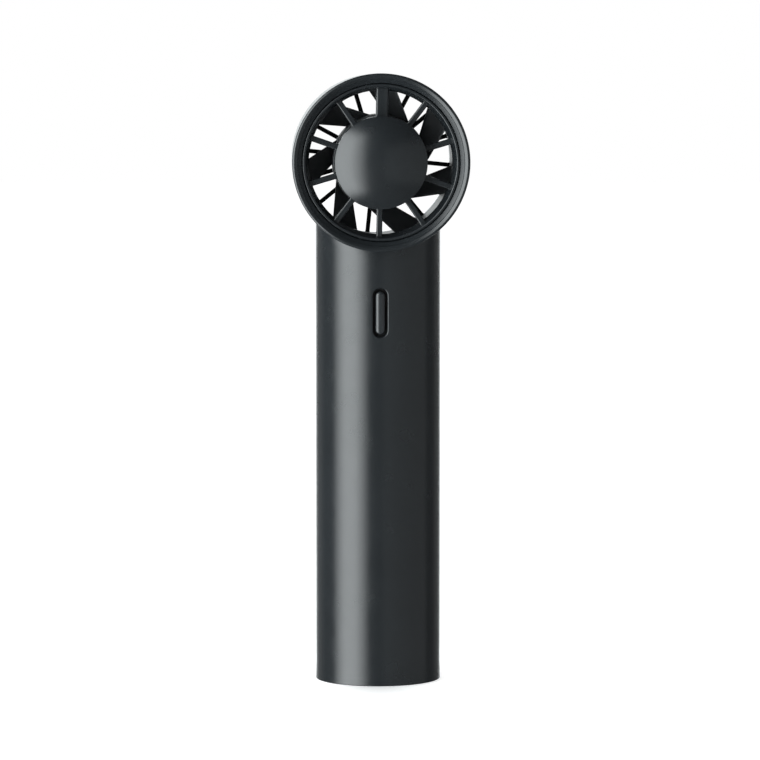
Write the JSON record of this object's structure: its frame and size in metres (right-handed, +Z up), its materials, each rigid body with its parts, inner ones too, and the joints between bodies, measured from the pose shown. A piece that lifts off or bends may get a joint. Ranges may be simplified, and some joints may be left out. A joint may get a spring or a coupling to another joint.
{
  "type": "desk fan",
  "caption": "Slim cordless hand-held turbo fan that stands on its own base, with a round grip tube, a ducted impeller head and one pill-shaped button.",
  "frame": {"origin": "centre of the base, on the surface that the fan stands on", "axes": "+Z up along the grip tube, -Y towards the front grille and the button, +X to the right seen from the front"},
  "size_m": [0.0498, 0.0562, 0.1734],
  "materials": {
    "satin_black": "satin",
    "gloss_black": "semi-gloss",
    "duct_black": "satin",
    "inner_black": "matt",
    "rubber": "matt",
    "foam": "matt",
    "steel": "brushed",
    "nickel": "polished",
    "iron": "satin",
    "copper": "enamelled",
    "circuit": "lacquered",
    "cell_wrap": "satin",
    "red_wire": "satin",
    "black_wire": "satin"
  },
  "bodies": {
    "housing": {"base_cap": "inner_black", "base_screw_1": "steel", "base_screw_2": "steel", "battery_cell": "cell_wrap", "battery_lead_black": "black_wire", "battery_lead_red": "red_wire", "battery_pad_bottom": "foam", "battery_pad_top": "foam", "battery_tab_bottom": "nickel", "battery_tab_top": "nickel", "bearing_front": "nickel", "bearing_rear": "nickel", "button_guide": "inner_black", "charge_board": "circuit", "charge_lead": "red_wire", "charging_socket": "steel", "chassis": "inner_black", "coil_1": "copper", "coil_2": "copper", "coil_3": "copper", "coil_4": "copper", "coil_5": "copper", "coil_6": "copper", "controller_chip": "inner_black", "driver_board": "circuit", "duct_liner": "duct_black", "foot_pad": "rubber", "front_bezel": "satin_black", "front_grille": "satin_black", "grip_tube": "satin_black", "head_shell": "satin_black", "hub_dome": "satin_black", "inductor": "iron", "main_board": "circuit", "motor_base": "nickel", "motor_lead_black": "black_wire", "motor_lead_red": "red_wire", "motor_screw_1": "steel", "motor_screw_2": "steel", "motor_screw_3": "steel", "neck_screw_1": "steel", "neck_screw_2": "steel", "rear_cap": "satin_black", "rear_grille": "satin_black", "socket_tongue": "inner_black", "stator_core": "iron", "switch_body": "inner_black"},
    "rotor": {"impeller": "duct_black", "rotor_bell": "steel", "magnet_ring": "iron", "motor_shaft": "steel", "impeller_nut": "steel"},
    "button": {"power_button": "gloss_black"},
    "plunger": {"switch_plunger": "inner_black"}
  },
  "joints": [
    {"name": "impeller_spin", "type": "hinge", "parent": "housing", "child": "rotor", "pos_m": [0, -0.0063, 0.1485], "axis": [0, 1, 0], "continuous": true},
    {"name": "button_press", "type": "slide", "parent": "housing", "child": "button", "axis": [0, 1, 0], "range_m": [0, 0.0006], "stiffness_N_per_m": 300, "springref_m": -0.0004},
    {"name": "plunger_press", "type": "slide", "parent": "housing", "child": "plunger", "axis": [0, 1, 0], "range_m": [0, 0.00045]}
  ],
  "couplings": [
    {"joint": "plunger_press", "follows": "button_press", "ratio": 0.5}
  ]
}
